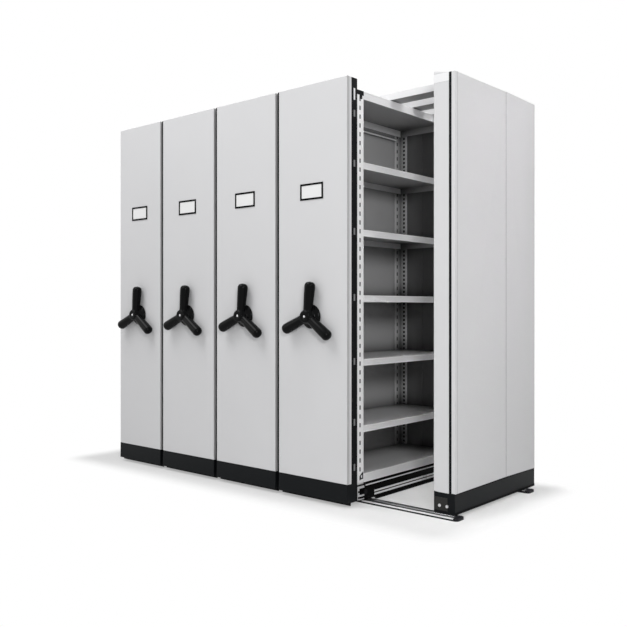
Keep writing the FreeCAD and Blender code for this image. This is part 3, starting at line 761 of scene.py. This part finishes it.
def sheet_details(number):
    """Joint strip up the far end sheet, and the folded rail along the back sheet under the top shelf."""
    low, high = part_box("carriage_%d_uprights" % number)
    body = "carriage_%d" % number

    def build_joint(bm):
        add_block(bm, (high.x - JOINT_X[1], high.y - JOINT_RAISE, low.z + JOINT_FOOT),
                  (high.x - JOINT_X[0], high.y + SINK, high.z), SMALL_ROUND)

    add_piece("sheet_joint_%d" % number, build_joint, "sheet_paint", body)

    def build_rail(bm):
        z0, z1 = BACK_RAIL_Z
        x0 = low.x - SINK
        web = low.x + BACK_RAIL_SHEET
        lip = low.x + BACK_RAIL_LIP
        outline = [(x0, z0), (lip, z0), (lip, z0 + BACK_RAIL_LIP),
                   (web, z0 + BACK_RAIL_LIP), (web, z1), (x0, z1)]
        add_prism(bm, outline, Y_AXIS, low.y + POST_WEB, high.y - POST_WEB)

    rail = add_piece("back_rail_%d" % number, build_rail, "sheet_paint", body)
    round_edges(rail, SMALL_ROUND, TRIM_SEGMENTS)

    # The rail's lip edge, painted lighter as a highlight
    def build_edge(bm):
        z0 = BACK_RAIL_Z[0]
        lip = low.x + BACK_RAIL_LIP
        add_block(bm, (lip - SINK, low.y + POST_WEB, z0),
                  (lip + BACK_EDGE[0], high.y - POST_WEB, z0 + BACK_EDGE[1]), SMALL_ROUND)

    add_piece("back_rail_edge_%d" % number, build_edge, "rim_highlight_paint", body)


def shelf_rims(number):
    """Rims along the top and the foot of each shelf's front, where its sheet is folded."""
    shelves = frame["nodes"]["carriage_%d_shelves" % number]
    posts_low, posts_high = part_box("carriage_%d_uprights" % number)
    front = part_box("carriage_%d_shelves" % number)[1].x
    corners = [shelves.matrix_world @ vert.co for vert in shelves.data.vertices]
    heights = sorted({round(corner.z, 4) for corner in corners if front - corner.x < SINK})
    y0 = posts_low.y + POST_WEB + RIM_RAISE
    y1 = posts_high.y - POST_WEB - RIM_RAISE

    def build(bm):
        for foot, top in zip(heights[::2], heights[1::2]):
            for z0, z1 in ((foot, foot + RIM_HEIGHT), (top - RIM_HEIGHT, top)):
                add_block(bm, (front - SINK, y0, z0), (front + RIM_RAISE, y1, z1), RIM_ROUND, segments=3)

    # Painted lighter than the shelf's front, as a highlight
    add_piece("shelf_rims_%d" % number, build, "rim_highlight_paint", "carriage_%d" % number)


def end_details():
    """On both end units: band on the narrow face, plate round the base bolts, lines on base and covers."""
    low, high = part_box("end_posts")
    front = low.y
    inner = high.x - END_FACE_WIDTH

    # Pale band, painted lighter as a highlight at the top of the narrow face
    def build_highlight_bands(bm):
        for x0, x1 in ((inner, high.x), (low.x, -inner)):
            add_block(bm, (x0, front - BAND_RAISE, high.z - BAND_HEIGHT),
                      (x1, front + SINK, high.z), SMALL_ROUND)

    add_piece("end_highlight_bands", build_highlight_bands, "band_paint", "frame")

    def build_plates(bm):
        for x0, x1 in ((inner, high.x), (low.x, -inner)):
            add_block(bm, (x0 + PLATE_MARGIN, front - PLATE_RAISE, PLATE_Z[0]),
                      (x1 - PLATE_MARGIN, front + SINK, PLATE_Z[1]), PLAIN_ROUND)

    add_piece("base_plates", build_plates, "plate_grey", "frame")
    base_low, base_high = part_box("end_bases")

    # Dark lines along the base's top and foot: painted shadow in the gaps under the cover and above the
    # floor
    def build_shadow_lines(bm):
        for z0, z1 in BASE_SHADOW_LINES_Z:
            for side, way in ((base_high.x, 1), (base_low.x, -1)):
                sides = sorted((side - way * SINK, side + way * BASE_SHADOW_LINE_RAISE))
                add_block(bm, (sides[0], base_low.y, z0), (sides[1], base_high.y, z1), SMALL_ROUND)

    add_piece("base_shadow_lines", build_shadow_lines, "deep_black", "frame")
    cover_low, cover_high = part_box("end_cover_panels")

    def build_joints(bm):
        for from_front, width in COVER_JOINTS:
            y0 = cover_low.y + from_front
            for side, way in ((cover_high.x, 1), (cover_low.x, -1)):
                sides = sorted((side - way * SINK, side + way * COVER_JOINT_RAISE))
                add_block(bm, (sides[0], y0, cover_low.z), (sides[1], y0 + width, cover_high.z), LINE_ROUND)

    add_piece("cover_joints", build_joints, "joint_and_shade_grey", "frame")


def rail_lips():
    """Bright lip and nosing along each ground rail's outer edge, and a thinner lip along its inner edge."""
    low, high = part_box("ground_rails")

    def build(bm):
        for outer, way in ((low.y, 1), (high.y, -1)):
            inner = outer + way * RAIL_WIDTH
            for y0, y1 in ((outer, outer + way * LIP_WIDTH), (inner, inner - way * INNER_LIP_WIDTH)):
                add_block(bm, (low.x + LIP_END, min(y0, y1), high.z - SINK),
                          (high.x - LIP_END, max(y0, y1), high.z + LIP_RAISE), SMALL_ROUND)
            faces = sorted((outer - way * NOSING_RAISE, outer + way * SINK))
            add_block(bm, (low.x + LIP_END, faces[0], NOSING_Z[0]),
                      (high.x - LIP_END, faces[1], NOSING_Z[1]), THIN_ROUND)

    add_piece("rail_lips", build, "aluminium", "frame")


def dress_nodes():
    """Material of every CAD node, rounded edges, and rounded folds where sheet is bent."""
    slots = {part["node"]: part["material_slot"] for part in frame["record"]["subparts"]}
    for node, piece in frame["nodes"].items():
        piece.data.materials.clear()
        finish = slots[node]
        for ending, other in NODE_FINISHES.items():
            if node.endswith(ending):
                finish = other
        piece.data.materials.append(MATERIALS[finish])
        low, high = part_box(node)
        for ending, width in NODE_EDGES.items():
            if node.endswith(ending):
                round_edges(piece, width, NODE_SEGMENTS)
        if node.endswith("front_panel") or node.endswith("plinth"):
            round_folds(piece, PANEL_FOLD, lambda place: place.y - low.y < ON_FACE
                        and min(place.x - low.x, high.x - place.x) < ON_FACE)
        if node == "end_cover_panels":
            round_folds(piece, PANEL_FOLD, lambda place: min(place.x - low.x, high.x - place.x) < ON_FACE)
        if node == "end_posts":
            round_folds(piece, POST_FOLD, lambda place: min(place.y - low.y, high.y - place.y) < ON_FACE)


def add_light(name, place, target, size, power, beam=math.pi):
    """A square lamp that faces its target. A beam under a half turn keeps its light together."""
    light = bpy.data.lights.new(name, "AREA")
    light.shape = "SQUARE"
    light.size = size
    light.energy = power
    light.spread = beam
    lamp = bpy.data.objects.new(name, light)
    bpy.context.scene.collection.objects.link(lamp)
    lamp.location = place
    lamp.rotation_mode = "QUATERNION"
    lamp.rotation_quaternion = (Vector(target) - Vector(place)).to_track_quat("-Z", "Y")


def seen_directly(nodes, links):
    """1 where a thing is seen, also in a reflection or through glass, and 0 where it only lights others."""
    paths = nodes.new("ShaderNodeLightPath")
    seen = paths.outputs["Is Camera Ray"]
    for kind in ("Is Glossy Ray", "Is Transmission Ray"):
        either = nodes.new("ShaderNodeMath")
        either.operation = "MAXIMUM"
        links.new(seen, either.inputs[0])
        links.new(paths.outputs[kind], either.inputs[1])
        seen = either.outputs["Value"]
    return seen


def add_floor():
    """Pale floor that keeps the object's shadow and fades to the white of the background away from it."""
    mesh = bpy.data.meshes.new("floor")
    bm = bmesh.new()
    bmesh.ops.create_grid(bm, x_segments=1, y_segments=1, size=FLOOR_SIZE)
    bm.to_mesh(mesh)
    bm.free()
    floor = bpy.data.objects.new("floor", mesh)
    bpy.context.scene.collection.objects.link(floor)
    floor.location.z = cad_low.z
    material, nodes, links, shader = new_material("floor")
    shader.inputs["Base Color"].default_value = FLOOR_COLOR
    shader.inputs["Roughness"].default_value = FLOOR_ROUGHNESS
    shader.inputs["Specular IOR Level"].default_value = 0.0
    glow = nodes.new("ShaderNodeEmission")
    outside = nodes.new("ShaderNodeTexCoord").outputs["Object"]
    half_size = ((cad_high.x - cad_low.x) / 2, (cad_high.y - cad_low.y) / 2, 0)
    steps = (("ABSOLUTE", None), ("SUBTRACT", half_size), ("MAXIMUM", (0, 0, 0)), ("LENGTH", None))
    for operation, value in steps:
        step = nodes.new("ShaderNodeVectorMath")
        step.operation = operation
        links.new(outside, step.inputs[0])
        if value is not None:
            step.inputs[1].default_value = value
        outside = step.outputs["Value" if operation == "LENGTH" else "Vector"]
    fade = nodes.new("ShaderNodeMapRange")
    fade.interpolation_type = "SMOOTHSTEP"
    fade.inputs["From Max"].default_value = FLOOR_GLOW_REACH
    fade.inputs["To Min"].default_value = FLOOR_GLOW_NEAR
    links.new(outside, fade.inputs["Value"])
    share = nodes.new("ShaderNodeMath")
    share.operation = "MULTIPLY"
    links.new(fade.outputs["Result"], share.inputs[0])
    links.new(seen_directly(nodes, links), share.inputs[1])
    mix = nodes.new("ShaderNodeMixShader")
    links.new(share.outputs["Value"], mix.inputs["Fac"])
    links.new(shader.outputs["BSDF"], mix.inputs[1])
    links.new(glow.outputs["Emission"], mix.inputs[2])
    links.new(mix.outputs["Shader"], nodes["Material Output"].inputs["Surface"])
    mesh.materials.append(material)


def set_world():
    """Even studio light, with a white background where the camera looks past the object."""
    world = bpy.data.worlds.new("studio")
    bpy.context.scene.world = world
    world.use_nodes = True
    nodes = world.node_tree.nodes
    links = world.node_tree.links
    background = nodes["Background"]
    background.inputs["Color"].default_value = (1, 1, 1, 1)
    seen = nodes.new("ShaderNodeMapRange")
    seen.inputs["To Min"].default_value = WORLD_LIGHT
    seen.inputs["To Max"].default_value = 1.0
    links.new(seen_directly(nodes, links), seen.inputs["Value"])
    links.new(seen.outputs["Result"], background.inputs["Strength"])


def set_camera():
    """The photograph's viewpoint."""
    camera = bpy.data.cameras.new("camera")
    camera.lens = CAMERA_LENS
    camera.sensor_width = CAMERA_SENSOR
    camera.shift_x, camera.shift_y = CAMERA_SHIFT
    holder = bpy.data.objects.new("camera", camera)
    bpy.context.scene.collection.objects.link(holder)
    panel_low, panel_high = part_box("carriage_%d_front_panel" % CARRIAGES[-1])
    holder.location = Vector((panel_high.x, panel_low.y, cad_low.z)) + CAMERA_PLACE
    holder.rotation_mode = "QUATERNION"
    holder.rotation_quaternion = CAMERA_LOOK.to_track_quat("-Z", "Y")
    bpy.context.scene.camera = holder


dress_nodes()
for carriage in CARRIAGES:
    crank_handle(carriage)
    label_card(carriage)
    post_caps(carriage)
    base_trim(carriage)
    panel_trim(carriage)
    slot_shadows(carriage)
    channel_clips(carriage)
    post_hook(carriage)
    sheet_details(carriage)
    shelf_rims(carriage)
end_details()
rail_lips()
set_camera()
add_floor()
set_world()

# Four soft lamps, and two narrow beams for the aisle's floor and the shelves
add_light("top", (-1.2, -3.0, 6.0), (0.0, 0.0, 1.2), size=3.0, power=168.0)
add_light("left", (-3.5, -5.0, 3.0), (-0.3, -0.5, 1.4), size=2.5, power=36.0)
add_light("high", (5.0, 0.0, 5.2), (1.4, 0.1, 2.0), size=2.0, power=76.0)
add_light("right", (4.2, -3.66, 2.25), (0.5, 0.3, 1.3), size=0.8, power=90.0)
add_light("aisle", (2.2, 0.1, 8.0), (1.1, 0.1, 0.0), size=0.5, power=1.45, beam=AISLE_BEAM)
add_light("shelves", (3.4, 0.35, 8.0), (0.9, 0.35, 1.6), size=1.0, power=1.2, beam=SHELF_BEAM)
bpy.context.scene.view_settings.view_transform = "Standard"
